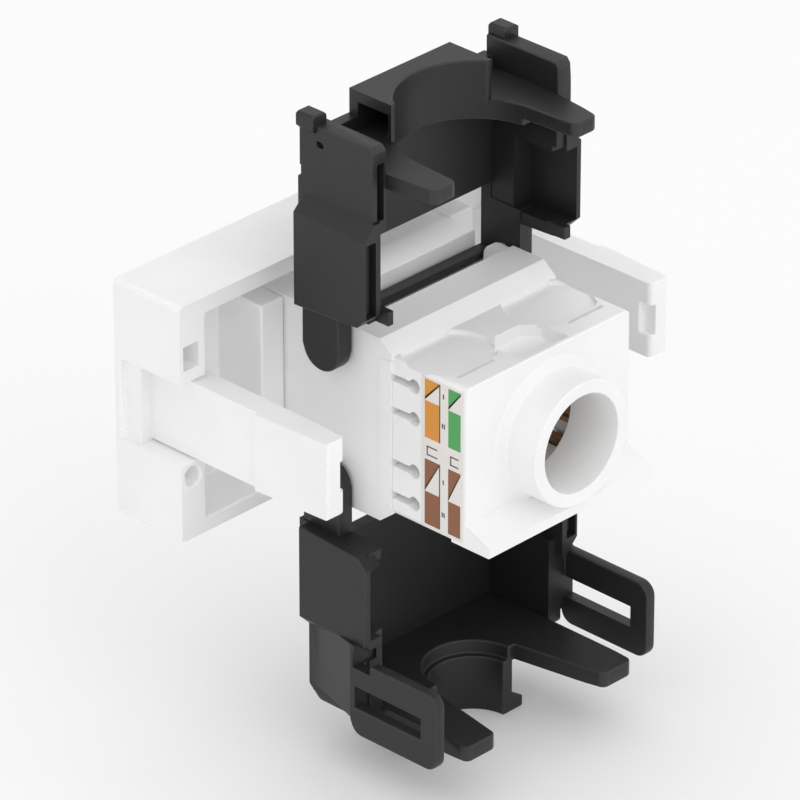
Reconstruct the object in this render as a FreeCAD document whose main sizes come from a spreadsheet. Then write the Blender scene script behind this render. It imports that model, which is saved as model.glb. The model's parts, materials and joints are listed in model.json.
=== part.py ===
# Snap-in network socket module, 45 x 22.5 mm, with a tool-free rear termination.
# A white snap-in frame carries the jack housing. Behind the housing sits a wire cap with
# a cable tube and colour-coded labels, and two black covers hinge on the housing to press
# the cap home and close around the cable. The covers are drawn open, as they stand at rest.
#
# Frame: millimetres, X across the face plate, Y from the face plate to the rear, Z up.
# The origin is the centre of the plate's front face. Heights in the jack are measured from
# the jack's own centre, which sits jack_drop below the plate's centre.

import FreeCAD
import Part
import os
import Sketcher
from types import SimpleNamespace

doc = FreeCAD.newDocument("NetworkModule")
sheet = doc.addObject("Spreadsheet::Sheet", "Sizes")

SIZES = (
    # Face plate and frame
    ("plate_width", 45.0),
    ("plate_height", 22.5),
    ("frame_depth", 8.0),
    ("face_thick", 2.8),
    ("rim_wall", 1.5),
    ("plate_round", 0.5),
    ("end_wall", 1.5),
    ("end_block", 2.9),
    ("bay_wall", 2.7),
    ("bay_play", 0.15),
    ("bay_nib", 0.4),
    ("bay_nib_from", 4.6),
    ("bay_nib_to", 6.0),
    # Square and round recesses in the end blocks
    ("recess_wide", 1.8),
    ("recess_tall", 2.3),
    ("recess_deep", 3.0),
    ("recess_inset", 1.3),
    ("recess_rise", 6.25),
    ("dimple_radius", 0.9),
    ("dimple_rise", 5.2),
    # Spring arms
    ("arm_slot", 7.6),
    ("arm_height", 7.2),
    ("arm_reach", 23.6),
    ("arm_inset", 1.65),
    ("arm_thick", 2.35),
    ("arm_taper", 0.3),
    ("arm_round", 0.5),
    ("hook_at", 15.5),
    ("hook_rise", 0.45),
    ("tip_notch_tall", 2.9),
    ("tip_notch_deep", 0.6),
    ("tip_notch_long", 1.3),
    ("patch_from", 0.85),
    ("patch_deep", 0.5),
    # Jack housing
    ("jack_drop", 0.95),
    ("jack_width", 20.0),
    ("jack_end", 20.5),
    ("core_half", 6.3),
    ("flange_half", 8.7),
    ("flange_gap", 1.35),
    ("flange_slope_from", 19.1),
    ("flange_edge_half", 7.6),
    ("band_rise", 0.15),
    ("band_half", 7.0),
    ("nose_width", 14.6),
    ("nose_height", 12.4),
    ("nose_setback", 0.4),
    ("nose_play", 0.15),
    ("front_gap", 0.4),
    ("cheek_wide", 0.9),
    # Socket and what is in it
    ("socket_width", 11.9),
    ("socket_roof", 3.7),
    ("socket_floor", 3.3),
    ("tab_width", 6.1),
    ("tab_deep", 1.7),
    ("tab_long", 9.0),
    ("carrier_from", 11.5),
    ("carrier_play", 0.05),
    ("spring_pitch", 1.02),
    ("spring_wide", 0.46),
    ("spring_thick", 0.34),
    ("spring_rise", 2.9),
    ("spring_bend", 0.7),
    ("spring_bend_at", 6.9),
    ("spring_tip_at", 10.5),
    ("spring_tip_drop", 0.7),
    ("spring_play", 0.08),
    # Board and insulation-displacement block
    ("board_at", 17.0),
    ("board_thick", 1.0),
    ("board_wide", 17.2),
    ("board_half", 6.75),
    ("board_play", 0.1),
    ("blade_inset", 1.95),
    ("blade_thick", 0.5),
    ("blade_wide", 1.4),
    ("blade_reach", 26.7),
    ("blade_slit", 0.4),
    ("blade_slit_from", 21.6),
    ("blade_mouth", 0.8),
    ("blade_play", 0.06),
    # Wire cap
    ("cap_end", 29.0),
    ("cap_half", 7.5),
    ("cap_round", 0.5),
    ("cap_side", 3.2),
    ("cap_inside_half", 5.6),
    ("cap_back", 1.6),
    ("slot_inner", 2.5),
    ("slot_outer", 5.6),
    ("slot_slit", 0.7),
    ("slot_radius", 0.62),
    ("slot_end", 23.0),
    ("lip_reach", 31.8),
    ("lip_thick", 1.0),
    ("lip_rise", 2.2),
    ("tube_outer", 5.75),
    ("tube_inner", 4.5),
    ("tube_reach", 32.95),
    ("tube_foot", 0.7),
    ("thumb_radius", 4.0),
    ("thumb_across", 6.1),
    ("thumb_at", 23.4),
    ("thumb_deep", 0.35),
    ("thumb_stop", 26.5),
    ("ridge_from", 26.7),
    ("ridge_long", 4.4),
    ("ridge_across", 6.7),
    ("ridge_groove", 0.45),
    ("key_half", 2.9),
    ("key_from", 24.2),
    ("key_to", 28.6),
    ("key_narrow", 1.4),
    ("key_deep", 1.2),
    # Wiring labels
    ("label_from", 24.0),
    ("label_to", 28.75),
    ("label_half", 7.1),
    ("label_thick", 0.1),
    # Hinges
    ("pivot_at", 14.0),
    ("pivot_half", 7.28),
    ("pivot_radius", 0.9),
    ("pivot_long", 1.3),
    ("pivot_play", 0.05),
    ("cheek_radius", 1.1),
    ("ear_gap", 0.3),
    ("ear_thick", 1.6),
    ("ear_wide", 4.15),
    ("ear_end", 2.8),
    # Covers
    ("cover_front", 11.5),
    ("panel_thick", 1.1),
    ("wall_inside", 10.4),
    ("wall_thick", 1.6),
    ("wall_back", 19.7),
    ("wall_from", 10.55),
    ("wall_lift", 0.45),
    ("wall_round", 0.6),
    ("pad_rise", 1.2),
    ("pad_to", 19.3),
    ("pad_setback", 0.6),
    ("lower_pad_setback", 1.1),
    ("pad_back", 20.45),
    ("pad_inside", 11.3),
    ("pad_skin", 0.6),
    ("pad_chamfer", 1.0),
    ("groove_rim", 0.2),
    ("groove_ledge", 0.55),
    ("groove_deep", 0.9),
    ("pocket_from", 15.2),
    ("pocket_low", 12.0),
    ("pocket_high", 18.9),
    ("bar_from", 6.65),
    ("bar_tall", 0.75),
    ("window_to", 13.6),
    ("seam_gap", 0.13),
    ("collar_gap", 0.7),
    # Upper cover
    ("upper_wall_to", 27.35),
    ("upper_top_back", 20.2),
    ("upper_plate_from", 23.2),
    ("upper_plate_thick", 1.35),
    ("upper_panel_to", 25.65),
    ("upper_front_step", 0.45),
    ("upper_step_at", 22.1),
    ("upper_finger_tip", 25.3),
    ("upper_finger_inside", 7.2),
    ("upper_finger_outside", 9.8),
    ("collar_radius", 6.9),
    ("block_half", 6.05),
    ("block_front", 11.77),
    ("block_back", 16.6),
    ("block_to", 28.1),
    ("block_skin", 1.0),
    ("collar_skin", 0.4),
    ("skirt_from", 22.6),
    ("lug_from", 11.82),
    ("lug_wide", 1.9),
    ("lug_thick", 1.7),
    ("lug_out", 0.43),
    ("lug_rise", 0.95),
    ("lug_head", 1.7),
    ("lug_bevel", 0.25),
    ("lug_hole_at", 13.1),
    ("lug_hole_long", 1.4),
    ("lug_hole_tall", 0.55),
    ("lug_hole_rise", 25.4),
    ("lug_hole_deep", 0.6),
    ("nub_wide", 0.7),
    ("nub_tall", 1.2),
    # Lower cover
    ("lower_wall_to", 27.65),
    ("lower_front_step", 1.05),
    ("lower_corner", 1.2),
    ("lower_plate_from", 26.6),
    ("lower_plate_thick", 1.5),
    ("lower_finger_tip", 29.7),
    ("lower_finger_inside", 6.8),
    ("lower_finger_outside", 10.4),
    ("lower_notch_half", 5.2),
    ("finger_round", 0.7),
    ("cuff_inner", 3.85),
    ("cuff_wall", 1.05),
    ("cuff_to", 33.25),
    ("cuff_bead", 1.3),
    ("cuff_bead_tall", 1.1),
    ("cuff_step", 0.6),
    ("cuff_step_deep", 1.3),
    ("loop_gap", 0.65),
    ("loop_thick", 1.05),
    ("loop_from", 19.1),
    ("ramp_from", 13.8),
    ("ramp_to", 26.4),
    ("loop_notch_from", 19.4),
    ("loop_notch_low", 19.9),
    ("loop_notch_high", 21.4),
    ("loop_reach", 29.25),
    ("loop_low", 20.55),
    ("loop_high", 27.9),
    ("loop_slot_from", 19.55),
    ("loop_slot_to", 27.3),
    ("loop_slot_low", 23.25),
    ("loop_slot_high", 25.3),
    ("loop_round", 1.3),
)


class Size(float):
    """A length that also carries the sheet expression it comes from."""

    def __new__(cls, value, text):
        size = super().__new__(cls, value)
        size.text = text
        return size

    def __add__(self, other):
        return Size(float(self) + float(other), f"({self.text} + {words(other)})")

    def __sub__(self, other):
        return Size(float(self) - float(other), f"({self.text} - {words(other)})")

    def __mul__(self, other):
        return Size(float(self) * float(other), f"({self.text} * {words(other)})")

    def __truediv__(self, other):
        return Size(float(self) / float(other), f"({self.text} / {words(other)})")

    def __neg__(self):
        return Size(-float(self), f"(0 - {self.text})")


def words(amount):
    return getattr(amount, "text", repr(amount))


s = SimpleNamespace()
for row, (alias, number) in enumerate(SIZES, 1):
    sheet.set(f"A{row}", alias.replace("_", " "))
    sheet.set(f"B{row}", str(number))
    sheet.setAlias(f"B{row}", alias)
    setattr(s, alias, Size(number, "Sizes." + alias))
doc.recompute()

# Cutting tools run past the faces they open by this much
PAST = Size(1.0, "1")
ZERO = Size(0.0, "0")

TURN = {
    "x": FreeCAD.Rotation(FreeCAD.Vector(0, 1, 0), 90),
    "y": FreeCAD.Rotation(FreeCAD.Vector(1, 0, 0), -90),
    "z": FreeCAD.Rotation(),
}
PLANE = {"x": "YZ_Plane", "y": "XZ_Plane", "z": "XY_Plane"}


def level(height):
    """Plate height of a place given from the jack's centre."""
    return height - s.jack_drop


def both(half):
    return -half, half


def jack_band(half):
    return level(-half), level(half)


def away(side, low, high):
    """Heights away from the jack's centre, upwards for side 1 and downwards for side -1."""
    return (level(low), level(high)) if side > 0 else (level(-high), level(-low))


def box(name, x, y, z):
    item = doc.addObject("Part::Box", name)
    for size, axis, (low, high) in zip(("Length", "Width", "Height"), "xyz", (x, y, z)):
        item.setExpression(size, (high - low).text)
        item.setExpression("Placement.Base." + axis, low.text)
    return item


def rod(name, axis, radius, span, centre):
    """Cylinder along an axis from span to span, its centre given on the other two axes."""
    item = doc.addObject("Part::Cylinder", name)
    item.Placement = FreeCAD.Placement(FreeCAD.Vector(), TURN[axis])
    item.setExpression("Radius", radius.text)
    item.setExpression("Height", (span[1] - span[0]).text)
    places = dict(zip("xyz".replace(axis, ""), centre))
    places[axis] = span[0]
    for way, place in places.items():
        item.setExpression("Placement.Base." + way, place.text)
    return item


def fuse(name, *items):
    item = doc.addObject("Part::MultiFuse", name)
    item.Shapes = list(items)
    item.Refine = True
    return item


def cut(name, base, *tools):
    item = doc.addObject("Part::Cut", name)
    item.Base = base
    item.Tool = tools[0] if len(tools) == 1 else fuse(name + "_tools", *tools)
    item.Refine = True
    return item


def common(name, base, tool):
    item = doc.addObject("Part::Common", name)
    item.Base = base
    item.Tool = tool
    return item


def mirror(item):
    """The same piece on the other side of the middle plane."""
    twin = doc.addObject("Part::Mirroring", item.Name + "_twin")
    twin.Source = item
    twin.Normal = FreeCAD.Vector(1, 0, 0)
    return twin


def sketch_on(body, name, axis, place):
    """Sketch square to an axis at a place along it."""
    sketch = body.newObject("Sketcher::SketchObject", name)
    origin = [item for item in body.Origin.OriginFeatures if item.Role == PLANE[axis]]
    sketch.AttachmentSupport = [(origin[0], "")]
    sketch.MapMode = "FlatFace"
    offset = -place if axis == "y" else place
    sketch.setExpression("AttachmentOffset.Base.z", offset.text)
    return sketch


def pin_point(sketch, geometry, point, place):
    """Holds a point of the sketch at a place taken from the sheet."""
    for kind, amount in zip(("DistanceX", "DistanceY"), place):
        index = sketch.addConstraint(
            Sketcher.Constraint(kind, -1, 1, geometry, point, float(amount)))
        sketch.setExpression(f"Constraints[{index}]", amount.text)


def draw_outline(sketch, corners):
    """Closed outline through the corners, each held by its own two sizes."""
    points = [FreeCAD.Vector(*map(float, corner), 0) for corner in corners]
    ends = points[1:] + points[:1]
    sketch.addGeometry([Part.LineSegment(a, b) for a, b in zip(points, ends)], False)
    for index, corner in enumerate(corners):
        sketch.addConstraint(
            Sketcher.Constraint("Coincident", index, 2, (index + 1) % len(corners), 1))
        pin_point(sketch, index, 1, corner)


def padded(name, axis, corners, span, rounds=None, radius=None):
    """Body padded along an axis from an outline; the named corners are rounded."""
    body = doc.addObject("PartDesign::Body", name)
    start = span[1] if axis == "y" else span[0]
    sketch = sketch_on(body, name + "_outline", axis, start)
    draw_outline(sketch, corners)
    pad = body.newObject("PartDesign::Pad", name + "_pad")
    pad.Profile = sketch
    pad.setExpression("Length", (span[1] - span[0]).text)
    if rounds:
        doc.recompute()
        soften(body, pad, name + "_round", axis, [corners[index] for index in rounds], radius)
    return body


def soften(body, pad, name, axis, corners, radius):
    """Rounds the edges of a pad that stand on the given corners of its outline."""
    ways = {"x": (1, 2), "y": (0, 2), "z": (0, 1)}[axis]
    edges = []
    for index, edge in enumerate(pad.Shape.Edges, 1):
        spots = [[vertex.Point[way] for way in ways] for vertex in edge.Vertexes]
        for corner in corners:
            if all(abs(spot[k] - float(corner[k])) < 1e-5 for spot in spots for k in (0, 1)):
                edges.append(f"Edge{index}")
    fillet = body.newObject("PartDesign::Fillet", name)
    fillet.Base = (pad, edges)
    fillet.setExpression("Radius", radius.text)
    body.Tip = fillet


# Snap-in frame: face plate, rim, end blocks, jack bay and spring arms in one moulding
plate_half = s.plate_width / 2
rise_half = s.plate_height / 2
jack_half = s.jack_width / 2
bay_half = jack_half + s.bay_play


def end_features():
    """Boss blocks and the spring arm at the positive end, and what is cut from them."""
    inner = plate_half - s.end_block
    end = plate_half - s.end_wall / 2
    rise = rise_half - s.rim_wall / 2
    solids = []
    for name, z in (("upper", (s.arm_slot / 2, rise)), ("lower", (-rise, -s.arm_slot / 2))):
        solids.append(box(name + "_end_block", (inner, end), (s.face_thick, s.frame_depth), z))
    outer = plate_half - s.arm_inset
    root = outer - s.arm_thick
    arm = padded("spring_arm", "z", (
        (root, s.face_thick / 2),
        (outer, s.face_thick / 2),
        (outer, s.hook_at),
        (outer + s.hook_rise, s.hook_at),
        (outer, s.arm_reach),
        (root + s.arm_taper, s.arm_reach),
    ), both(s.arm_height / 2), rounds=(5,), radius=s.arm_round)
    notch = box(
        "arm_tip_notch",
        (root - PAST, root + s.arm_taper + s.tip_notch_deep),
        (s.arm_reach - s.tip_notch_long, s.arm_reach + PAST),
        both(s.tip_notch_tall / 2))
    solids.append(cut("spring_arm_notched", arm, notch))
    recess = box(
        "square_recess",
        (plate_half - s.recess_inset - s.recess_wide / 2, plate_half - s.recess_inset + s.recess_wide / 2),
        (s.frame_depth - s.recess_deep, s.frame_depth + PAST),
        (s.recess_rise - s.recess_tall / 2, s.recess_rise + s.recess_tall / 2))
    dimple = rod(
        "round_recess", "y", s.dimple_radius,
        (s.frame_depth - s.recess_deep, s.frame_depth + PAST),
        (plate_half - s.recess_inset, -s.dimple_rise))
    gap = box(
        "arm_gap",
        (inner, plate_half + PAST),
        (s.face_thick, s.frame_depth + PAST),
        both(s.arm_slot / 2))
    patch = box(
        "end_patch",
        (plate_half - s.patch_deep, plate_half + PAST),
        (s.patch_from, s.frame_depth + PAST),
        both(s.arm_slot / 2))
    return solids, (gap, patch), (recess, dimple)


def snap_in_frame():
    shell = padded("frame_block", "y", (
        (-plate_half, -rise_half), (plate_half, -rise_half),
        (plate_half, rise_half), (-plate_half, rise_half),
    ), (ZERO, s.frame_depth), rounds=(0, 1, 2, 3), radius=s.plate_round)
    hollow = box(
        "frame_hollow",
        both(plate_half - s.end_wall),
        (s.face_thick, s.frame_depth + PAST),
        both(rise_half - s.rim_wall))
    solids, gaps, recesses = end_features()
    rim = cut("frame_rim", shell, hollow, *gaps, *[mirror(item) for item in gaps])
    wall = box(
        "bay_wall_block",
        (bay_half, bay_half + s.bay_wall),
        (s.face_thick, s.frame_depth),
        (-rise_half + s.rim_wall, level(s.flange_half)))
    nib = padded("bay_nib_wedge", "z", (
        (bay_half, s.bay_nib_from), (bay_half - s.bay_nib, s.bay_nib_from),
        (bay_half, s.bay_nib_to),
    ), jack_band(s.core_half / 2))
    solids += [wall, nib]
    whole = fuse("frame_whole", rim, *solids, *[mirror(item) for item in solids])
    window = box(
        "nose_window",
        both(s.nose_width / 2 + s.nose_play),
        (-PAST, s.face_thick + PAST),
        jack_band(s.nose_height / 2 + s.nose_play))
    return cut("snap_in_frame", whole, window, *recesses, *[mirror(item) for item in recesses])


# Jack housing: bay nose, core, rear flange, hinge cheeks and pivots
def hinge_round(name, side, radius, span):
    """Round on a hinge axis; side is 1 for the upper hinge and -1 for the lower."""
    return rod(name, "x", radius, span, (s.pivot_at, level(s.pivot_half * side)))


def jack_housing():
    core = box("jack_core", both(jack_half), (s.face_thick, s.jack_end), jack_band(s.core_half))
    front = box(
        "jack_front",
        both(jack_half),
        (s.face_thick, s.cover_front - s.front_gap),
        (-rise_half + s.rim_wall + s.bay_play, level(s.flange_half)))
    nose = box(
        "jack_nose",
        both(s.nose_width / 2),
        (s.nose_setback, s.face_thick),
        jack_band(s.nose_height / 2))
    bar_closed = s.pivot_at + s.bar_from + s.bar_tall - s.pivot_half
    flange_at = bar_closed + s.flange_gap
    flange = padded("jack_flange", "x", (
        (flange_at, level(-s.flange_half)),
        (s.flange_slope_from, level(-s.flange_half)),
        (s.jack_end, level(-s.flange_edge_half)),
        (s.jack_end, level(s.flange_edge_half)),
        (s.flange_slope_from, level(s.flange_half)),
        (flange_at, level(s.flange_half)),
    ), both(jack_half))
    band = box(
        "jack_band",
        both(jack_half + s.band_rise),
        (s.flange_slope_from, s.jack_end),
        jack_band(s.band_half))
    solids = [core, front, nose, flange, band]
    for name, side in (("upper", 1), ("lower", -1)):
        across = (jack_half - s.cheek_wide, jack_half)
        cheek = fuse(
            name + "_cheek",
            hinge_round(name + "_cheek_end", side, s.cheek_radius, across),
            box(
                name + "_cheek_stem", across,
                (s.pivot_at - s.cheek_radius, s.pivot_at + s.cheek_radius),
                away(side, s.core_half - s.cheek_radius, s.pivot_half)),
            box(
                name + "_cheek_bridge", across,
                (s.pivot_at, flange_at + s.cheek_radius),
                away(side, s.core_half - s.cheek_radius, s.pivot_half + s.cheek_radius)))
        pivot = hinge_round(
            name + "_pivot", side, s.pivot_radius, (jack_half - s.cheek_wide, jack_half + s.pivot_long))
        solids += [cheek, pivot, mirror(cheek), mirror(pivot)]
    whole = fuse("jack_whole", *solids)
    socket = box(
        "jack_socket",
        both(s.socket_width / 2),
        (s.nose_setback - PAST, s.board_at + PAST),
        (level(-s.socket_floor), level(s.socket_roof)))
    tab = box(
        "jack_tab_groove",
        both(s.tab_width / 2),
        (s.nose_setback - PAST, s.tab_long),
        (level(-s.socket_floor - s.tab_deep), level(-s.socket_floor + PAST)))
    rear = box(
        "jack_rear_bay",
        both(s.board_wide / 2 + s.board_play),
        (s.board_at, s.jack_end + PAST),
        jack_band(s.board_half + s.board_play))
    groove = box(
        "jack_side_groove",
        (jack_half - s.bay_nib, jack_half + PAST),
        (s.bay_nib_from - s.bay_play, s.bay_nib_to + s.bay_play),
        jack_band(s.core_half / 2 + s.bay_play))
    return cut("jack_housing", whole, socket, tab, rear, groove, mirror(groove))


# Contacts: swept spring wires in a slotted carrier, and forked blades in a slotted block
PINS = range(1, 9)
SLOT_ROWS = (s.slot_outer, s.slot_inner, -s.slot_inner, -s.slot_outer)


def pin_place(pin):
    return s.spring_pitch * (pin - 4.5)


def contact_carrier():
    body = box(
        "carrier_block",
        both(s.socket_width / 2 - s.carrier_play),
        (s.carrier_from, s.board_at),
        (level(-s.socket_floor), level(s.socket_roof - s.carrier_play)))
    slots = []
    for pin in PINS:
        half = s.spring_wide / 2 + s.spring_play
        slots.append(box(
            f"carrier_slot_{pin}",
            (pin_place(pin) - half, pin_place(pin) + half),
            (s.carrier_from - PAST, s.board_at + PAST),
            (level(s.spring_rise - s.spring_thick / 2), level(s.socket_roof + PAST))))
    return cut("contact_carrier", body, *slots)


def contact_spring(pin):
    """Spring wire: along the carrier, round a bend, and back down into the socket."""
    name = f"contact_spring_{pin}"
    body = doc.addObject("PartDesign::Body", name)
    path = sketch_on(body, name + "_path", "x", pin_place(pin))
    rise = level(s.spring_rise)
    tip = (s.spring_tip_at, level(-s.spring_tip_drop))
    start = FreeCAD.Vector(float(s.board_at), float(rise), 0)
    turn = FreeCAD.Vector(float(s.spring_bend_at), float(rise), 0)
    centre = turn - FreeCAD.Vector(0, float(s.spring_bend), 0)
    bend = Part.ArcOfCircle(
        Part.Circle(centre, FreeCAD.Vector(0, 0, 1), float(s.spring_bend)), 1.571, 4.2)
    leg = Part.LineSegment(bend.EndPoint, FreeCAD.Vector(float(tip[0]), float(tip[1]), 0))
    path.addGeometry([Part.LineSegment(start, turn), bend, leg], False)
    path.addConstraint([
        Sketcher.Constraint("Horizontal", 0),
        Sketcher.Constraint("Tangent", 0, 2, 1, 1),
        Sketcher.Constraint("Tangent", 1, 2, 2, 1),
    ])
    pin_point(path, 0, 1, (s.board_at, rise))
    pin_point(path, 2, 2, tip)
    for kind, amount in (
            (Sketcher.Constraint("DistanceX", -1, 1, 0, 2, float(s.spring_bend_at)), s.spring_bend_at),
            (Sketcher.Constraint("Radius", 1, float(s.spring_bend)), s.spring_bend)):
        index = path.addConstraint(kind)
        path.setExpression(f"Constraints[{index}]", amount.text)
    section = sketch_on(body, name + "_section", "y", s.board_at)
    left = pin_place(pin) - s.spring_wide / 2
    right = pin_place(pin) + s.spring_wide / 2
    low = rise - s.spring_thick / 2
    high = rise + s.spring_thick / 2
    draw_outline(section, ((left, low), (right, low), (right, high), (left, high)))
    pipe = body.newObject("PartDesign::AdditivePipe", name + "_pipe")
    pipe.Profile = section
    pipe.Spine = (path, ["Edge1", "Edge2", "Edge3"])
    return body


def blade_places():
    """Side and height of each forked blade."""
    for side in (1, -1):
        for row in SLOT_ROWS:
            yield side, row


def blade_span(side, play):
    far = s.board_wide / 2 - s.blade_inset + play
    near = far - s.blade_thick - play * 2
    return (near, far) if side > 0 else (-far, -near)


def idc_contact(number, side, row):
    """Forked blade: a plate on the board with a slit that grips the wire."""
    half = s.blade_wide / 2
    slit = s.blade_slit / 2
    throat = s.blade_reach - s.blade_mouth
    back = s.board_at + s.board_thick
    lower = [
        (back, -half),
        (s.blade_reach - s.blade_slit, -half),
        (s.blade_reach, -half + slit),
        (throat, -slit),
        (s.blade_slit_from, -slit),
    ]
    upper = [(along, -across) for along, across in reversed(lower)]
    corners = [(along, level(row + across)) for along, across in lower + upper]
    return padded(f"idc_contact_{number}", "x", corners, blade_span(side, ZERO))


def circuit_board():
    return box(
        "circuit_board",
        both(s.board_wide / 2),
        (s.board_at, s.board_at + s.board_thick),
        jack_band(s.board_half))


def idc_block():
    back = s.board_at + s.board_thick
    body = box("idc_body", both(s.board_wide / 2), (back, s.jack_end), jack_band(s.board_half))
    slots = []
    for index, (side, row) in enumerate(blade_places(), 1):
        half = s.blade_wide / 2 + s.blade_play
        slots.append(box(
            f"idc_slot_{index}",
            blade_span(side, s.blade_play),
            (back - PAST, s.jack_end + PAST),
            (level(row - half), level(row + half))))
    return cut("idc_block", body, *slots)


# Wire cap: slotted block with a cable tube, a rear lip and thumb recesses on its top
def wire_cap():
    block = padded("cap_block", "y", (
        (-jack_half, level(-s.cap_half)), (jack_half, level(-s.cap_half)),
        (jack_half, level(s.cap_half)), (-jack_half, level(s.cap_half)),
    ), (s.jack_end, s.cap_end), rounds=(0, 1, 2, 3), radius=s.cap_round)
    lip = padded("cap_lip", "x", (
        (s.cap_end - s.cap_back, level(-s.cap_half)),
        (s.lip_reach, level(-s.cap_half)),
        (s.lip_reach, level(-s.cap_half + s.lip_thick)),
        (s.cap_end, level(-s.cap_half + s.lip_rise)),
        (s.cap_end - s.cap_back, level(-s.cap_half + s.lip_rise)),
    ), both(jack_half))
    tube = rod("cap_tube", "y", s.tube_outer, (s.cap_end - s.cap_back, s.tube_reach), (ZERO, level(ZERO)))
    foot = doc.addObject("Part::Cone", "cap_tube_foot")
    foot.Placement = FreeCAD.Placement(FreeCAD.Vector(), TURN["y"])
    foot.setExpression("Radius1", (s.tube_outer + s.tube_foot).text)
    foot.setExpression("Radius2", s.tube_outer.text)
    foot.setExpression("Height", s.tube_foot.text)
    foot.setExpression("Placement.Base.y", s.cap_end.text)
    foot.setExpression("Placement.Base.z", level(ZERO).text)
    whole = fuse("cap_whole", block, lip, tube, foot)
    inside = jack_half - s.cap_side
    tools = [
        box(
            "cap_hollow",
            both(inside),
            (s.jack_end - PAST, s.cap_end - s.cap_back),
            jack_band(s.cap_inside_half)),
        rod("cap_bore", "y", s.tube_inner, (s.jack_end, s.tube_reach + PAST), (ZERO, level(ZERO))),
    ]
    for index, (side, row) in enumerate(blade_places(), 1):
        half = s.blade_wide / 2 + s.board_play
        tools.append(box(
            f"cap_blade_room_{index}",
            blade_span(side, s.cap_round),
            (s.jack_end - PAST, s.blade_reach + s.board_play),
            (level(row - half), level(row + half))))
    through = (inside - s.cap_round, jack_half + PAST)
    for index, row in enumerate(SLOT_ROWS, 1):
        slit = fuse(
            f"cap_slit_{index}",
            box(
                f"cap_slit_way_{index}", through,
                (s.jack_end - PAST, s.slot_end),
                (level(row - s.slot_slit / 2), level(row + s.slot_slit / 2))),
            rod(f"cap_slit_end_{index}", "x", s.slot_radius, through, (s.slot_end, level(row))))
        tools += [slit, mirror(slit)]
    return cut("wire_cap", whole, *tools, *cap_top_tools())


def cap_top_tools():
    """Thumb recesses, ridge grooves and the key notch sunk in the cap's top."""
    top = level(s.cap_half)
    thumb = rod(
        "thumb_round", "z", s.thumb_radius,
        (top - s.thumb_deep, top + PAST), (s.thumb_across, s.thumb_at))
    reach = box(
        "thumb_limit",
        (ZERO, s.thumb_across + s.thumb_radius),
        (s.jack_end - PAST, s.thumb_stop),
        (top - PAST, top + PAST * 2))
    thumb_cut = common("thumb_recess", thumb, reach)
    groove = box(
        "ridge_groove_cut",
        (s.ridge_across - s.ridge_long / 2, s.ridge_across + s.ridge_long / 2),
        (s.ridge_from, s.ridge_from + s.ridge_groove),
        (top - s.key_deep, top + PAST))
    key = padded("key_notch", "z", (
        (-s.key_narrow, s.key_from), (s.key_narrow, s.key_from),
        (s.key_half, s.key_from + s.key_narrow), (s.key_half, s.key_to),
        (-s.key_half, s.key_to), (-s.key_half, s.key_from + s.key_narrow),
    ), (top - s.key_deep, top + PAST))
    return thumb_cut, mirror(thumb_cut), groove, mirror(groove), key


def wiring_label(name, x):
    return box(name, x, (s.label_from, s.label_to), jack_band(s.label_half))


# Covers: both are drawn open and meet at the seam when they close
def turned(side, corners):
    """Outline of a cover wall on its own side of the jack."""
    return [(along, level(height * side)) for along, height in corners]


wall_outside = s.wall_inside + s.wall_thick
pad_outside = wall_outside + s.pad_rise
ear_inside = jack_half + s.ear_gap
seam_at = s.pivot_at + s.pivot_half
collar_at = seam_at - s.collar_gap
nub_reach = seam_at - s.seam_gap


def cover_ear(prefix, side):
    """Rounded hinge ear below the cover's wall, with a blind hole for the pivot."""
    x = (ear_inside, ear_inside + s.ear_thick)
    half = s.ear_wide / 2
    centre = s.pivot_half - s.ear_end + half
    end = rod(prefix + "_ear_end", "x", half, x, (s.pivot_at, level(centre * side)))
    stem = box(
        prefix + "_ear_stem", x, (s.pivot_at - half, s.pivot_at + half),
        away(side, centre, s.wall_from + s.wall_thick))
    hole = hinge_round(
        prefix + "_ear_hole", side, s.pivot_radius + s.pivot_play,
        (ear_inside - PAST, jack_half + s.pivot_long + s.pivot_play))
    return fuse(prefix + "_ear", end, stem), hole


def cover_side(prefix, side, wall, front):
    """Two side walls with raised pads: one with a groove in its rear face, one with a thin edge."""
    end = s.pad_to + s.pad_rise
    across = padded(prefix + "_pad_across", "y", turned(side, (
        (s.pad_inside, s.wall_from), (pad_outside, s.wall_from),
        (pad_outside, s.pad_to), (wall_outside, end), (s.pad_inside, end),
    )), (front, s.pad_back))
    along = padded(prefix + "_pad_along", "x", turned(side, (
        (front, s.wall_from), (s.pad_back - s.pad_chamfer, s.wall_from + s.wall_lift),
        (s.pad_back, s.wall_from + s.wall_lift + s.pad_chamfer), (s.pad_back, end), (front, end),
    )), (s.pad_inside, pad_outside))
    solid = fuse(prefix + "_side_solid", wall, common(prefix + "_pad", across, along))
    heights = away(side, s.pocket_low, s.pocket_high)
    pocket, room = (
        box(
            prefix + name,
            (s.wall_inside - PAST, inside),
            (s.pocket_from, s.pad_back + PAST), heights)
        for name, inside in (("_pocket", s.pad_inside), ("_room", pad_outside - s.pad_skin)))
    groove = box(
        prefix + "_groove",
        (s.pad_inside + s.groove_ledge, pad_outside - s.groove_rim),
        (s.pad_back - s.groove_deep, s.pad_back + PAST), heights)
    return cut(prefix + "_grooved_side", solid, pocket, groove), cut(prefix + "_plain_side", solid, room)


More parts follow.
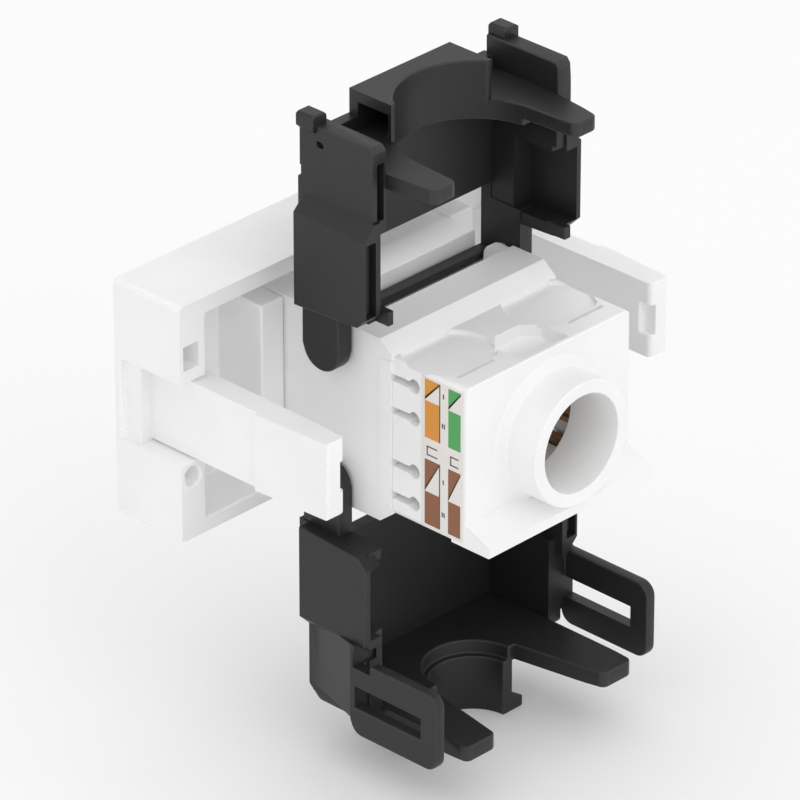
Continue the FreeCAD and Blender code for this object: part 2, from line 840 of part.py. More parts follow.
def cover_front(prefix, side, panel_to):
    """Hinge ears and windowed panel shared by both covers, and the pivots' holes."""
    ear, hole = cover_ear(prefix, side)
    panel = box(
        prefix + "_panel",
        both(ear_inside + s.ear_gap),
        (s.cover_front, s.cover_front + s.panel_thick),
        away(side, s.bar_from, panel_to))
    window = box(
        prefix + "_window",
        both(ear_inside),
        (s.cover_front - PAST, s.cover_front + s.panel_thick + PAST),
        away(side, s.bar_from + s.bar_tall, s.window_to))
    return (ear, mirror(ear), cut(prefix + "_front", panel, window)), (hole, mirror(hole))


def end_plate(prefix, side, start, thick, notch, inside, outside, tip):
    """Plate across a cover's end with a notch for the cable and two fingers."""
    outline = (
        (-s.wall_inside, s.cover_front), (s.wall_inside, s.cover_front),
        (s.wall_inside, s.wall_back), (outside, tip), (inside, tip),
        (notch, collar_at), (-notch, collar_at),
        (-inside, tip), (-outside, tip), (-s.wall_inside, s.wall_back),
    )
    return padded(
        prefix + "_end_plate", "z", outline, away(side, start, start + thick),
        rounds=(3, 4, 7, 8), radius=s.finger_round)


def upper_cover():
    step = s.cover_front + s.upper_front_step
    wall = padded("upper_wall", "x", turned(1, (
        (s.cover_front, s.wall_from),
        (s.wall_back, s.wall_from + s.wall_lift),
        (s.wall_back, s.pad_to),
        (s.upper_top_back, s.pad_to),
        (s.upper_top_back, s.upper_wall_to),
        (step, s.upper_wall_to),
        (step, s.upper_step_at),
        (s.cover_front, s.upper_step_at),
    )), (s.wall_inside, wall_outside), rounds=(4,), radius=s.wall_round)
    groove, hole = upper_wall_tools()
    wall = cut("upper_wall_open", wall, hole)
    grooved, plain = cover_side("upper", 1, wall, s.cover_front + s.pad_setback)
    nub = box(
        "upper_nub",
        (s.wall_inside, s.wall_inside + s.nub_wide),
        (s.wall_back - s.nub_wide, nub_reach),
        away(1, s.wall_from + s.wall_lift, s.wall_from + s.wall_lift + s.nub_tall))
    lug = upper_lug()
    left = cut("upper_left_side", grooved, groove)
    sides = (left, mirror(plain), nub, mirror(nub), lug, mirror(lug))
    fronts, holes = cover_front("upper", 1, s.upper_panel_to)
    plate = end_plate(
        "upper", 1, s.upper_plate_from, s.upper_plate_thick, s.collar_radius,
        s.upper_finger_inside, s.upper_finger_outside, s.upper_finger_tip)
    whole = fuse("upper_whole", *sides, *fronts, plate, upper_block())
    collar = rod(
        "upper_collar", "z", s.collar_radius,
        (level(s.upper_plate_from - PAST), level(s.block_to + PAST)), (ZERO, collar_at))
    return cut("upper_cover", whole, collar, *holes)


def upper_wall_tools():
    """Groove down the wall's rear face and the small hole below the lug."""
    groove = box(
        "upper_wall_groove",
        (s.wall_inside + s.lug_bevel, wall_outside - s.groove_ledge),
        (s.upper_top_back - s.groove_deep, s.upper_top_back + PAST),
        away(1, s.pad_to + s.pad_rise, s.upper_wall_to - s.wall_thick))
    hole = box(
        "upper_lug_hole",
        (wall_outside - s.lug_hole_deep, wall_outside + PAST),
        (s.lug_hole_at, s.lug_hole_at + s.lug_hole_long),
        away(1, s.lug_hole_rise, s.lug_hole_rise + s.lug_hole_tall))
    return groove, hole


def upper_lug():
    """Square lug standing on the wall's end, its head proud of the wall."""
    outer = wall_outside + s.lug_out
    inner = outer - s.lug_thick
    top = s.upper_wall_to + s.lug_rise
    corners = (
        (inner, s.upper_plate_from), (wall_outside, s.upper_plate_from),
        (wall_outside, top - s.lug_head), (outer, top - s.lug_head + s.lug_out),
        (outer, top - s.lug_bevel), (outer - s.lug_bevel, top),
        (inner + s.lug_bevel, top), (inner, top - s.lug_bevel),
    )
    return padded("upper_lug", "y", turned(1, corners), (s.lug_from, s.lug_from + s.lug_wide))


def upper_block():
    """Block behind the end plate, open at its sides, that carries the round collar."""
    solid = box(
        "upper_block_solid",
        both(s.block_half),
        (s.block_front, s.block_back),
        away(1, s.upper_plate_from + s.upper_plate_thick / 2, s.block_to))
    room = box(
        "upper_block_room",
        both(s.block_half + PAST),
        (s.block_front + s.block_skin, collar_at),
        away(1, s.upper_plate_from + s.upper_plate_thick, s.block_to - s.block_skin))
    keep = rod(
        "upper_block_collar", "z", s.collar_radius + s.collar_skin,
        (level(s.upper_plate_from), level(s.block_to)), (ZERO, collar_at))
    skirt = common(
        "upper_skirt",
        rod(
            "upper_skirt_round", "z", s.collar_radius + s.block_skin,
            away(1, s.skirt_from, s.upper_plate_from + s.block_skin), (ZERO, collar_at)),
        box(
            "upper_skirt_half",
            both(s.collar_radius + s.block_skin),
            (s.cover_front, collar_at - s.block_skin),
            away(1, s.skirt_from, s.upper_plate_from + s.block_skin)))
    pockets = cut("upper_block_pockets", room, keep)
    return fuse("upper_block", cut("upper_block_open", solid, pockets), skirt)


def lower_cover():
    step = s.cover_front + s.lower_front_step
    wall = padded("lower_wall", "x", turned(-1, (
        (s.cover_front, s.wall_from),
        (s.wall_back, s.wall_from + s.wall_lift),
        (s.wall_back, s.lower_wall_to),
        (step + s.lower_corner, s.lower_wall_to),
        (step, s.lower_wall_to - s.lower_corner),
        (step, s.pad_to),
        (s.cover_front, s.pad_to),
    )), (s.wall_inside, wall_outside), rounds=(2, 3, 4), radius=s.wall_round)
    grooved, plain = cover_side("lower", -1, wall, s.cover_front + s.lower_pad_setback)
    loop = lower_loop()
    notch = box(
        "lower_loop_notch",
        (s.wall_inside + s.nub_wide, pad_outside + PAST),
        (s.loop_notch_from, s.pad_back + PAST),
        away(-1, s.loop_notch_low, s.loop_notch_high))
    left = cut("lower_left_side", fuse("lower_left_whole", plain, loop), notch)
    right = fuse("lower_right_side", grooved, loop)
    fronts, holes = cover_front("lower", -1, s.lower_plate_from + s.lower_plate_thick)
    plate = end_plate(
        "lower", -1, s.lower_plate_from, s.lower_plate_thick, s.lower_notch_half,
        s.lower_finger_inside, s.lower_finger_outside, s.lower_finger_tip)
    whole = fuse("lower_whole", left, mirror(right), *fronts, plate, lower_cuff())
    bore = rod(
        "lower_bore", "z", s.cuff_inner,
        (level(-s.cuff_to - PAST), level(-s.lower_plate_from + PAST)), (ZERO, collar_at))
    step_down = rod(
        "lower_bore_step", "z", s.cuff_inner + s.cuff_step,
        (level(-s.lower_plate_from - s.cuff_step_deep), level(-s.lower_plate_from + PAST)),
        (ZERO, collar_at))
    return cut("lower_cover", whole, bore, step_down, *holes)


def lower_cuff():
    """Half-round cable cuff with a bead at its end for a cable tie."""
    outer = s.cuff_inner + s.cuff_wall
    wall = rod("lower_cuff_wall", "z", outer, away(-1, s.lower_plate_from, s.cuff_to), (ZERO, collar_at))
    bead = rod(
        "lower_cuff_bead", "z", outer + s.cuff_bead,
        away(-1, s.cuff_to - s.cuff_bead_tall, s.cuff_to), (ZERO, collar_at))
    keep = box(
        "lower_cuff_half",
        both(outer + s.cuff_bead + PAST),
        (collar_at - outer - s.cuff_bead - PAST, collar_at),
        away(-1, s.lower_plate_from, s.cuff_to))
    return common("lower_cuff", fuse("lower_cuff_round", wall, bead), keep)


def lower_loop():
    """Flat catch loop that runs off a ramp on the wall's outer face and reaches rearwards."""
    inner = wall_outside + s.loop_gap
    outer = inner + s.loop_thick
    root = wall_outside - s.loop_gap
    ring = padded("lower_loop_ring", "x", turned(-1, (
        (s.loop_from, s.loop_low), (s.loop_reach, s.loop_low),
        (s.loop_reach, s.loop_high), (s.loop_from, s.loop_high),
    )), (inner, outer), rounds=(1, 2, 3), radius=s.loop_round)
    slot = padded("lower_loop_slot", "x", turned(-1, (
        (s.loop_slot_from, s.loop_slot_low), (s.loop_slot_to, s.loop_slot_low),
        (s.loop_slot_to, s.loop_slot_high), (s.loop_slot_from, s.loop_slot_high),
    )), (inner - PAST, outer + PAST))
    ramp = padded("lower_loop_ramp", "z", (
        (root, s.ramp_from), (wall_outside, s.ramp_from), (outer, s.loop_from),
        (outer, s.loop_slot_from), (root, s.loop_slot_from),
    ), away(-1, s.pad_to, s.ramp_to))
    return fuse("lower_loop", cut("lower_loop_open", ring, slot), ramp)


pieces = {
    "snap_in_frame": snap_in_frame(),
    "jack_housing": jack_housing(),
    "contact_carrier": contact_carrier(),
    "circuit_board": circuit_board(),
    "idc_block": idc_block(),
    "wire_cap": wire_cap(),
    "upper_cover": upper_cover(),
    "lower_cover": lower_cover(),
    "wiring_label_left": wiring_label("wiring_label_left", (jack_half, jack_half + s.label_thick)),
    "wiring_label_right": wiring_label("wiring_label_right", (-jack_half - s.label_thick, -jack_half)),
}
for pin in PINS:
    pieces[f"contact_spring_{pin}"] = contact_spring(pin)
for number, (side, row) in enumerate(blade_places(), 1):
    pieces[f"idc_contact_{number}"] = idc_contact(number, side, row)
doc.recompute()

for item in doc.Objects:
    if {"Invalid", "Error"} & set(item.State):
        raise RuntimeError(f"{item.Name} did not build: {item.State}")

os.makedirs("parts", exist_ok=True)
for name, item in pieces.items():
    item.Label = name
    if item.Shape.isNull() or not item.Shape.isValid() or len(item.Shape.Solids) != 1:
        raise RuntimeError(f"{name} is not one sound solid")
    item.Shape.exportStep(f"parts/{name}.step")
    print(name, round(item.Shape.Volume, 1))
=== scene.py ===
"""Looks of a snap-in network socket module: softened mouldings, printed wiring labels, studio."""
import json
from math import cos, radians, sin

import bmesh
import bpy
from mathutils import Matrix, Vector
from mathutils.bvhtree import BVHTree
from mathutils.geometry import intersect_point_line


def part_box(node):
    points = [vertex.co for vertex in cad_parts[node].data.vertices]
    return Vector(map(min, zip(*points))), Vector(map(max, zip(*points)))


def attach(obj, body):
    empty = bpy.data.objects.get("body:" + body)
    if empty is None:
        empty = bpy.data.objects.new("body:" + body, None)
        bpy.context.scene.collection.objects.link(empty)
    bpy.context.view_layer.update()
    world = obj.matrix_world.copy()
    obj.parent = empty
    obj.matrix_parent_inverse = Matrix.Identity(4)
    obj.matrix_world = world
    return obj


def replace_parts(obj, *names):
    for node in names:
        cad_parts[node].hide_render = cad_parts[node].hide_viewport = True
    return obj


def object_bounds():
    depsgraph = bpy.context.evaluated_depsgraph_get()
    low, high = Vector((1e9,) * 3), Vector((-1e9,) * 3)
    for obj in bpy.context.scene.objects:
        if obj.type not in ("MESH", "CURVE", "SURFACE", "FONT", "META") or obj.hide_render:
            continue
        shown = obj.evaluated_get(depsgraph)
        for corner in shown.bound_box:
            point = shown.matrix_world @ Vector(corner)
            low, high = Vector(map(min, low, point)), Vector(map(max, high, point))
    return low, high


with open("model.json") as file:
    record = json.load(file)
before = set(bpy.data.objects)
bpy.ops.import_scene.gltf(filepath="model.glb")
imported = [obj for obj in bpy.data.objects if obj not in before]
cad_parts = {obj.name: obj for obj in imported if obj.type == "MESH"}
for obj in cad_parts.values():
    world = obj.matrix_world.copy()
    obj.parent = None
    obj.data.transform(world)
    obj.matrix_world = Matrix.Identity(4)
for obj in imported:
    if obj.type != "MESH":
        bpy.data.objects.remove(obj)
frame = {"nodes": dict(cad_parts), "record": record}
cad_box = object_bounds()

MM = 0.001
nodes = frame["nodes"]
slot_of = {row["node"]: row["material_slot"] for row in frame["record"]["subparts"]}
scene = bpy.context.scene


# Materials: every one is built from noise or waves in the piece's own coordinates
EDGES = "rounded_edges"
NOISE_ENDS = (0.3, 0.7)
SCREEN_ENDS = (0.35, 0.65)
RUN_ENDS = (0.55, 0.6)
RUN_PITCH = 6 * MM
RUN_BENDS = 6.0
GLOSS_SPREAD = 0.05
MIX_FIRST, MIX_SECOND, MIX_RESULT = 6, 7, 2


def shade(colour, factor):
    return tuple(channel * factor for channel in colour)


class Tree:
    """A material's node tree with the few joins that the materials below share."""

    def __init__(self, name):
        self.material = bpy.data.materials.new(name)
        self.material.use_nodes = True
        self.nodes = self.material.node_tree.nodes
        self.links = self.material.node_tree.links
        self.shader = self.nodes["Principled BSDF"]
        self.place = self.nodes.new("ShaderNodeTexCoord").outputs["Object"]

    def noise(self, size, detail=2.0, rough=0.5):
        """Noise whose blotches are about the given size in metres."""
        node = self.nodes.new("ShaderNodeTexNoise")
        node.inputs["Scale"].default_value = 1.0 / size
        node.inputs["Detail"].default_value = detail
        node.inputs["Roughness"].default_value = rough
        self.links.new(self.place, node.inputs["Vector"])
        return node.outputs["Fac"]

    def ramp(self, factor, colours, ends=NOISE_ENDS):
        """From one colour to another as the factor runs from end to end."""
        node = self.nodes.new("ShaderNodeValToRGB")
        for element, place, colour in zip(node.color_ramp.elements, ends, colours):
            element.position = place
            element.color = (*colour, 1.0)
        self.links.new(factor, node.inputs["Fac"])
        return node.outputs["Color"]

    def tones(self, factor, colour, darkest, lightest, ends=NOISE_ENDS):
        """A colour between two of its own shades."""
        return self.ramp(factor, (shade(colour, darkest), shade(colour, lightest)), ends)

    def spread(self, factor, low, high):
        """A number between low and high as the factor runs over its middle range."""
        node = self.nodes.new("ShaderNodeMapRange")
        limits = ("From Min", "From Max", "To Min", "To Max")
        for limit, value in zip(limits, (*NOISE_ENDS, low, high)):
            node.inputs[limit].default_value = value
        self.links.new(factor, node.inputs["Value"])
        return node.outputs["Result"]

    def bump(self, height, strength, depth, after=None):
        node = self.nodes.new("ShaderNodeBump")
        node.inputs["Strength"].default_value = strength
        node.inputs["Distance"].default_value = depth
        self.links.new(height, node.inputs["Height"])
        if after:
            self.links.new(after, node.inputs["Normal"])
        return node.outputs["Normal"]

    def mixed(self, factor, first, second):
        node = self.nodes.new("ShaderNodeMix")
        node.data_type = "RGBA"
        self.links.new(factor, node.inputs["Factor"])
        self.links.new(first, node.inputs[MIX_FIRST])
        self.links.new(second, node.inputs[MIX_SECOND])
        return node.outputs[MIX_RESULT]

    def edges(self):
        """Mask of the faces that round an edge, where the plastics paint a lighter highlight."""
        node = self.nodes.new("ShaderNodeAttribute")
        node.attribute_name = EDGES
        return node.outputs["Fac"]

    def set(self, **sockets):
        for name, value in sockets.items():
            socket = self.shader.inputs[name.replace("_", " ")]
            if isinstance(value, bpy.types.NodeSocket):
                self.links.new(value, socket)
            else:
                socket.default_value = value
        return self.material


def plastic(name, colour, gloss, grain, grain_depth, edge_highlight=1.0, sheen=0.5):
    """Moulded plastic: faint flow marks, satin grain and rounded edges painted lighter as a
    highlight.
    """
    tree = Tree(name)
    flow = tree.noise(size=9 * MM, detail=3.0)
    fine = tree.noise(size=grain, detail=2.0, rough=0.6)
    body = tree.tones(flow, colour, darkest=0.97, lightest=1.03)
    # Painted highlight: the rounded edges take a lighter shade of the colour, by the given factor
    edge = tree.tones(fine, colour, darkest=edge_highlight * 0.96, lightest=edge_highlight * 1.04)
    flow_marks = tree.bump(flow, strength=0.1, depth=0.02 * MM)
    return tree.set(
        Base_Color=tree.mixed(tree.edges(), body, edge),
        Specular_IOR_Level=sheen,
        Roughness=tree.spread(fine, low=gloss - GLOSS_SPREAD, high=gloss + GLOSS_SPREAD),
        Normal=tree.bump(fine, strength=0.25, depth=grain_depth, after=flow_marks))


def metal(name, colour, shiniest, dullest):
    """Contact metal: a dull film in patches over a fine grain."""
    tree = Tree(name)
    patches = tree.noise(size=1.2 * MM, detail=3.0)
    fine = tree.noise(size=0.12 * MM, detail=2.0)
    return tree.set(
        Base_Color=tree.tones(patches, colour, darkest=0.8, lightest=1.05),
        Metallic=1.0,
        Roughness=tree.spread(fine, low=shiniest, high=dullest),
        Normal=tree.bump(fine, strength=0.15, depth=0.004 * MM))


def film(name, colour):
    """Printed film or ink: an even colour with a faint screen and a soft sheen."""
    tree = Tree(name)
    screen = tree.noise(size=0.18 * MM, detail=1.0)
    cloud = tree.noise(size=2.5 * MM, detail=2.0)
    darker = tree.tones(screen, colour, darkest=0.93, lightest=1.0, ends=SCREEN_ENDS)
    lighter = tree.tones(screen, colour, darkest=1.0, lightest=1.06, ends=SCREEN_ENDS)
    return tree.set(
        Base_Color=tree.mixed(cloud, darker, lighter),
        Roughness=tree.spread(screen, low=0.42, high=0.55),
        Normal=tree.bump(screen, strength=0.1, depth=0.004 * MM))


def laminate(name, mask, over_copper):
    """Circuit board: solder mask that is lighter over the copper runs."""
    tree = Tree(name)
    wave = tree.nodes.new("ShaderNodeTexWave")
    wave.inputs["Scale"].default_value = 1.0 / RUN_PITCH
    wave.inputs["Distortion"].default_value = RUN_BENDS
    tree.links.new(tree.place, wave.inputs["Vector"])
    runs = wave.outputs["Fac"]
    return tree.set(
        Base_Color=tree.ramp(runs, (mask, over_copper), ends=RUN_ENDS),
        Roughness=tree.spread(tree.noise(size=0.4 * MM), low=0.3, high=0.42),
        Normal=tree.bump(runs, strength=0.2, depth=0.02 * MM))


WHITE = (0.92, 0.92, 0.92)
BLACK = (0.019, 0.019, 0.0195)
GREY = (0.5, 0.5, 0.49)
IVORY = (0.78, 0.76, 0.7)
SOLDER_MASK = (0.02, 0.12, 0.05)
MASK_OVER_COPPER = (0.04, 0.19, 0.07)
LABEL_GROUND = (0.83, 0.8, 0.76)
GOLD = (0.83, 0.62, 0.24)
BRONZE = (0.42, 0.25, 0.14)
INK_COLOURS = {
    "orange": (0.74, 0.3, 0.04),
    "green": (0.08, 0.38, 0.11),
    "brown": (0.27, 0.105, 0.045),
    "blue": (0.06, 0.17, 0.5),
    "dark": (0.07, 0.06, 0.055),
}
slots = {
    "white_plastic": plastic(
        "white_plastic", WHITE, gloss=0.38, grain=0.22 * MM, grain_depth=0.006 * MM, edge_highlight=1.02),
    # Black plastic: its rounded edges are painted 1.7 times lighter as a highlight
    "black_plastic": plastic(
        "black_plastic", BLACK, gloss=0.44, grain=0.2 * MM, grain_depth=0.01 * MM, edge_highlight=1.7,
        sheen=0.35),
    "grey_plastic": plastic(
        "grey_plastic", GREY, gloss=0.45, grain=0.2 * MM, grain_depth=0.008 * MM),
    "ivory_plastic": plastic(
        "ivory_plastic", IVORY, gloss=0.42, grain=0.2 * MM, grain_depth=0.008 * MM),
    "board_laminate": laminate("board_laminate", SOLDER_MASK, MASK_OVER_COPPER),
    "label_film": film("label_film", LABEL_GROUND),
    "gold_contact": metal("gold_contact", GOLD, shiniest=0.17, dullest=0.34),
    "bronze_contact": metal("bronze_contact", BRONZE, shiniest=0.31, dullest=0.48),
}
inks = {name: film(f"{name}_ink", colour) for name, colour in INK_COLOURS.items()}
for node, material_slot in slot_of.items():
    nodes[node].data.materials.clear()
    nodes[node].data.materials.append(slots[material_slot])


def add_object(name, mesh, body, material):
    """Links a new piece, dresses it and lets it ride on a body."""
    piece = bpy.data.objects.new(name, mesh)
    scene.collection.objects.link(piece)
    mesh.materials.clear()
    mesh.materials.append(material)
    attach(piece, body)
    return piece


# Mouldings: copies of the CAD nodes with their sharp edges rounded.
# Each has its node, the name of its copy, the body that it rides on and the width of its rounds.
MOULDINGS = (
    ("snap_in_frame", "frame_moulding", "module", 0.22 * MM),
    ("jack_housing", "housing_moulding", "module", 0.12 * MM),
    ("wire_cap", "cap_moulding", "module", 0.14 * MM),
    ("upper_cover", "upper_cover_moulding", "upper_cover", 0.16 * MM),
    ("lower_cover", "lower_cover_moulding", "lower_cover", 0.16 * MM),
)
SAME_POINT = 0.001 * MM
SLACK = 0.01 * MM
STRIP = 1.5 * MM
SAME_PLANE = radians(0.05)
ONE_FACE = radians(0.6)
FLAT = radians(1)
SHARP = radians(32)
STILL_FLAT = cos(radians(3))
TANGENT = cos(radians(30))
TURNED_AWAY = -0.1
FACING = "drawn_facing"
LEVEL = "drawn_level"
ROUND_STEPS = 3
ROUND_PROFILE = 0.5
TRIES = 12
# These three are shares of a round's width
OFF_SURFACE = 0.6
KEPT_CLEAR = 1.5
EDGE_PART = 0.6


def is_curved(face):
    """Whether a face is one strip of a round surface, not a piece of a flat one."""
    angles = [edge.calc_face_angle(0.0) for edge in face.edges]
    if min(angles) < SAME_PLANE or not any(FLAT < angle < SHARP for angle in angles):
        return False
    return is_strip(face, STRIP)


def is_strip(face, width):
    """Whether a face is narrower than a width, going by a long strip's area and perimeter."""
    return 2 * face.calc_area() < width * face.calc_perimeter()


def bent_corners(shape):
    """Corners that the rounding pulled out of a flat face; what is no longer flat is marked so."""
    facing = shape.faces.layers.float_vector[FACING]
    level = shape.faces.layers.float[LEVEL]
    corners = []
    for face in shape.faces:
        way = face[facing]
        if face.normal.dot(way) < STILL_FLAT:
            face[facing] = Vector()
            continue
        for vert in face.verts:
            if abs(vert.co.dot(way) - face[level]) > SLACK:
                corners.append(vert.co.copy())
    return corners


def stray_corners(shape, surface, reach):
    """Corners of the faces that lie off the drawn surface or look the wrong way."""
    corners = []
    for loops in shape.calc_loop_triangles():
        points = [loop.vert.co.copy() for loop in loops]
        normal = (points[1] - points[0]).cross(points[2] - points[0]).normalized()
        _, facing, _, gap = surface.find_nearest(sum(points, Vector()) / len(points))
        if gap > reach or normal.dot(facing) < TURNED_AWAY:
            corners += points
    return corners


def is_near(edge, corners, reach):
    start, end = (vert.co for vert in edge.verts)
    for corner in corners:
        _, along = intersect_point_line(corner, start, end)
        if (corner - start.lerp(end, min(max(along, 0.0), 1.0))).length < reach:
            return True
    return False


def rounded(drawn, width):
    """A copy of a shape with its sharp edges rounded, but for those without room for it."""
    drawn.edges.index_update()
    surface = BVHTree.FromBMesh(drawn)
    chosen = [edge for edge in drawn.edges if edge.calc_face_angle(0.0) > SHARP]
    for _ in range(TRIES):
        shape = drawn.copy()
        shape.edges.ensure_lookup_table()
        bmesh.ops.bevel(
            shape, geom=[shape.edges[edge.index] for edge in chosen], affect="EDGES",
            offset=width, offset_type="OFFSET", segments=ROUND_STEPS, profile=ROUND_PROFILE,
            clamp_overlap=False, miter_outer="ARC")
        shape.normal_update()
        for face in shape.faces:
            face.smooth = True
        corners = bent_corners(shape) + stray_corners(shape, surface, width * OFF_SURFACE)
        if not corners:
            return shape
        shape.free()
        chosen = [edge for edge in chosen if not is_near(edge, corners, width * KEPT_CLEAR)]
    return drawn.copy()


def even_flats(mesh):
    """Flat faces shade as drawn, and the rounds beside them run into them without a crease."""
    facing = [item.vector.copy() for item in mesh.attributes[FACING].data]
    flats = {}
    for face in mesh.polygons:
        if facing[face.index].length > 0:
            for vert in face.vertices:
                flats.setdefault(vert, []).append(facing[face.index])
    normals = [corner.vector.copy() for corner in mesh.corner_normals]
    for face in mesh.polygons:
        for corner, vert in zip(face.loop_indices, face.vertices):
            beside = [way for way in flats.get(vert, ()) if way.dot(face.normal) > TANGENT]
            if facing[face.index].length > 0:
                normals[corner] = facing[face.index]
            elif len(beside) == 1:
                normals[corner] = beside[0]
    for layer in (FACING, LEVEL):
        mesh.attributes.remove(mesh.attributes[layer])
    mesh.normals_split_custom_set(normals)


def softened(node, name, body, width):
    """A copy of a node with rounded edges that stands for it."""
    drawn = bmesh.new()
    drawn.from_mesh(nodes[node].data)
    bmesh.ops.remove_doubles(drawn, verts=drawn.verts, dist=SAME_POINT)
    bmesh.ops.dissolve_limit(drawn, angle_limit=ONE_FACE, verts=drawn.verts, edges=drawn.edges)
    facing = drawn.faces.layers.float_vector.new(FACING)
    level = drawn.faces.layers.float.new(LEVEL)
    for face in drawn.faces:
        face[facing] = Vector() if is_curved(face) else face.normal
        face[level] = face.verts[0].co.dot(face[facing])
    shape = rounded(drawn, width)
    bmesh.ops.dissolve_degenerate(shape, dist=SAME_POINT, edges=shape.edges)
    # Mask of the rounding strips, where the plastics paint a lighter highlight
    edges = shape.faces.layers.float.new(EDGES)
    for face in shape.faces:
        face[edges] = float(is_strip(face, EDGE_PART * width))
    mesh = bpy.data.meshes.new(name)
    shape.to_mesh(mesh)
    shape.free()
    drawn.free()
    if "custom_normal" in mesh.attributes:
        mesh.attributes.remove(mesh.attributes["custom_normal"])
    mesh.set_sharp_from_angle(angle=SHARP)
    even_flats(mesh)
    material_slot = slot_of[node]
    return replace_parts(add_object(name, mesh, body, slots[material_slot]), node)


for moulding in MOULDINGS:
    softened(*moulding)


# Printed labels: colour fields for the two wiring orders, with plain marks between them.
# Columns run along a label from its front edge, rows down from its top edge.
INK_THICK = 0.012 * MM
FIRST_COLUMN = (0.4 * MM, 2.05 * MM)
SECOND_COLUMN = (3.1 * MM, 4.5 * MM)
TOP_SPLIT = (0.1 * MM, 2.1 * MM)
TOP_BLOCK = (2.15 * MM, 5.65 * MM)
MARK_ROW = (6.4 * MM, 7.3 * MM)
LOW_SPLIT = (7.7 * MM, 10.78 * MM)
LOW_BLOCK = (10.8 * MM, 13.9 * MM)
LINE = 0.12 * MM
TICK = 0.22 * MM
TICK_INKED = 0.6


def block(column, rows):
    (near, far), (top, bottom) = column, rows
    return [(near, top), (far, top), (far, bottom), (near, bottom)]


def half_block(column, rows):
    """The half of a field before its diagonal."""
    (near, far), (top, bottom) = column, rows
    return [(near, top), (far, top), (near, bottom)]


def diagonal(column, rows):
    """The line between a field's two halves."""
    (near, far), (top, bottom) = column, rows
    return [(far, top), (far, top + LINE * 2), (near, bottom), (near, bottom - LINE * 2)]


def column_edge(column, rows):
    """The line along a column's far side."""
    far = column[1]
    return block((far, far + LINE), rows)


def ticks(rows, count):
    """Small strokes between the columns that number a wire's place."""
    middle = (FIRST_COLUMN[1] + SECOND_COLUMN[0]) / 2
    height = (rows[0] + rows[1]) / 2
    strokes = []
    for index in range(count):
        low = middle + (2 * index - count) * TICK / 2
        strokes.append(block((low, low + TICK * TICK_INKED), (height - TICK, height + TICK)))
    return strokes


def bracket(column, rows):
    """Three strokes, open to the far side, that mark a wiring order."""
    (near, far), (top, bottom) = column, rows
    near, far = near + TICK, far - TICK
    return [
        block((near, far), (top, top + LINE)),
        block((near, far), (bottom - LINE, bottom)),
        block((near, near + LINE), (top, bottom)),
    ]


def print_label(node, side, colours):
    """Thin ink fields on a label's outer face; side is the way that face looks along X."""
    low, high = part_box(node)
    face = high.x if side > 0 else low.x
    first, second, lower = colours
    fields = {name: [] for name in inks}
    for colour, column in ((first, FIRST_COLUMN), (second, SECOND_COLUMN)):
        fields[colour] += [half_block(column, TOP_SPLIT), block(column, TOP_BLOCK)]
        fields[lower] += [half_block(column, LOW_SPLIT), block(column, LOW_BLOCK)]
        fields["dark"] += [diagonal(column, TOP_SPLIT), diagonal(column, LOW_SPLIT)]
        fields["dark"] += bracket(column, MARK_ROW)
    for rows in ((TOP_SPLIT[0], TOP_BLOCK[1]), (LOW_SPLIT[0], LOW_BLOCK[1])):
        fields["dark"].append(column_edge(FIRST_COLUMN, rows))
    for rows, count in ((TOP_SPLIT, 1), (TOP_BLOCK, 2), (LOW_SPLIT, 1), (LOW_BLOCK, 2)):
        fields["dark"] += ticks(rows, count)
    for colour, outlines in fields.items():
        if not outlines:
            continue
        shape = bmesh.new()
        for outline in outlines:
            points = [(face, low.y + along, high.z - down) for along, down in outline]
            field = shape.faces.new([shape.verts.new(point) for point in points])
            grown = bmesh.ops.extrude_face_region(shape, geom=[field])["geom"]
            raised = [item for item in grown if isinstance(item, bmesh.types.BMVert)]
            bmesh.ops.translate(shape, verts=raised, vec=(side * INK_THICK, 0, 0))
        bmesh.ops.recalc_face_normals(shape, faces=shape.faces)
        name = f"{node}_{colour}_print"
        mesh = bpy.data.meshes.new(name)
        shape.to_mesh(mesh)
        shape.free()
        add_object(name, mesh, "module", inks[colour])


print_label("wiring_label_left", 1, ("orange", "green", "brown"))
print_label("wiring_label_right", -1, ("green", "orange", "blue"))


# Studio: pale floor, white surroundings and one broad lamp from the rear
PURE_WHITE = (1, 1, 1, 1)
FLOOR_SIDE = 3.0
FLOOR_CELLS = 8
FLOOR_TONES = ((0.93, 0.93, 0.93), (0.94, 0.94, 0.94))
FLOOR_MOTTLE = 0.3
FLOOR_GLOW = 0.05
SURROUND = 0.93
LAMP_POWER = 1.2
LAMP_SIDE = 0.7
LAMP_AT = Vector((0.15, 0.75, 0.65))
WHITE_BOUNCES = 12


def light_path(tree):
    """Whether a ray comes from the camera, a gloss or a clear surface."""
    path = tree.nodes.new("ShaderNodeLightPath")
    total = path.outputs["Is Camera Ray"]
    for ray in ("Is Glossy Ray", "Is Transmission Ray"):
        node = tree.nodes.new("ShaderNodeMath")
        node.operation = "MAXIMUM"
        tree.links.new(total, node.inputs[0])
        tree.links.new(path.outputs[ray], node.inputs[1])
        total = node.outputs[0]
    return total


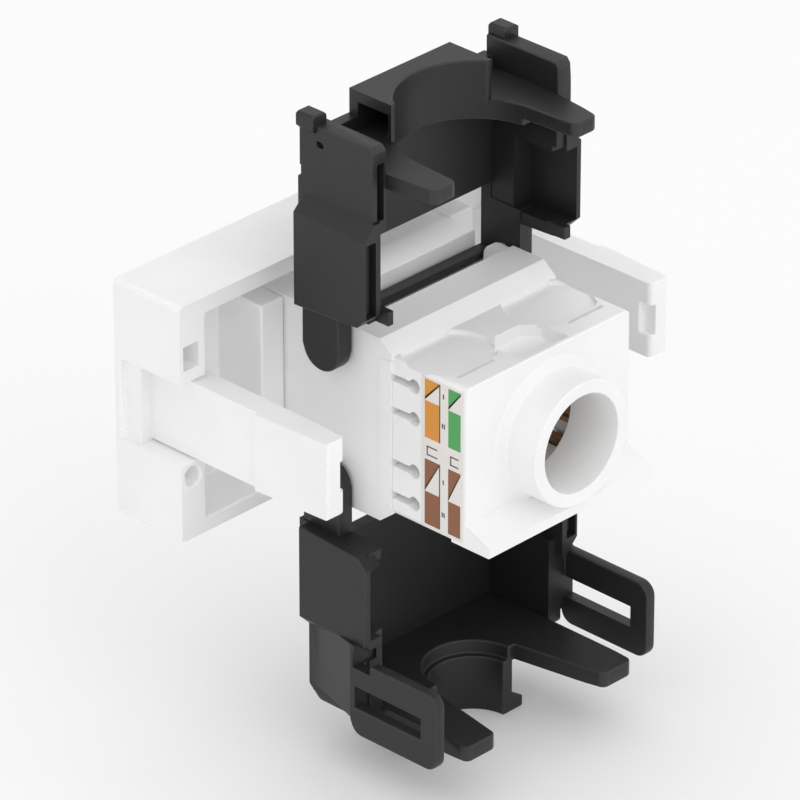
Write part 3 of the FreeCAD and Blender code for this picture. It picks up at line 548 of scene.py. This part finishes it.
def make_floor():
    shape = bmesh.new()
    bmesh.ops.create_grid(
        shape, x_segments=FLOOR_CELLS, y_segments=FLOOR_CELLS, size=FLOOR_SIDE / 2)
    mesh = bpy.data.meshes.new("floor")
    shape.to_mesh(mesh)
    shape.free()
    floor = bpy.data.objects.new("floor", mesh)
    floor.location.z = cad_box[0].z
    scene.collection.objects.link(floor)
    tree = Tree("studio_floor")
    glow = tree.nodes.new("ShaderNodeMath")
    glow.operation = "MULTIPLY"
    glow.inputs[1].default_value = FLOOR_GLOW
    tree.links.new(light_path(tree), glow.inputs[0])
    mesh.materials.append(tree.set(
        Base_Color=tree.ramp(tree.noise(size=FLOOR_MOTTLE), FLOOR_TONES),
        Roughness=0.9,
        Specular_IOR_Level=0.0,
        Emission_Color=PURE_WHITE,
        Emission_Strength=glow.outputs[0]))


def make_world():
    world = bpy.data.worlds.new("studio")
    world.use_nodes = True
    scene.world = world
    tree = world.node_tree
    background = tree.nodes["Background"]
    background.inputs["Color"].default_value = PURE_WHITE
    level = tree.nodes.new("ShaderNodeMapRange")
    level.inputs["To Min"].default_value = SURROUND
    level.inputs["To Max"].default_value = 1.0
    tree.links.new(light_path(tree), level.inputs["Value"])
    tree.links.new(level.outputs["Result"], background.inputs["Strength"])


def aim(item, target):
    item.rotation_euler = (target - item.location).to_track_quat("-Z", "Y").to_euler()


def make_lamp():
    light = bpy.data.lights.new("soft_lamp", "AREA")
    light.shape = "SQUARE"
    light.size = LAMP_SIDE
    light.energy = LAMP_POWER
    lamp = bpy.data.objects.new("soft_lamp", light)
    lamp.location = LAMP_AT
    aim(lamp, Vector())
    scene.collection.objects.link(lamp)


# Camera: a long lens at the photograph's angle
VIEW_AZIMUTH = radians(43.91)
VIEW_ELEVATION = radians(28.54)
VIEW_DISTANCE = 0.6556
VIEW_AIM = Vector((1.6, 13.34, -3.54)) * MM
LENS = 346.2


def make_camera():
    camera = bpy.data.objects.new("camera", bpy.data.cameras.new("camera"))
    camera.data.lens = LENS
    away = Vector((
        cos(VIEW_ELEVATION) * cos(VIEW_AZIMUTH),
        cos(VIEW_ELEVATION) * sin(VIEW_AZIMUTH),
        sin(VIEW_ELEVATION)))
    camera.location = VIEW_AIM + away * VIEW_DISTANCE
    aim(camera, VIEW_AIM)
    scene.collection.objects.link(camera)
    scene.camera = camera


make_floor()
make_world()
make_lamp()
make_camera()
scene.view_settings.view_transform = "Standard"
scene.cycles.diffuse_bounces = WHITE_BOUNCES
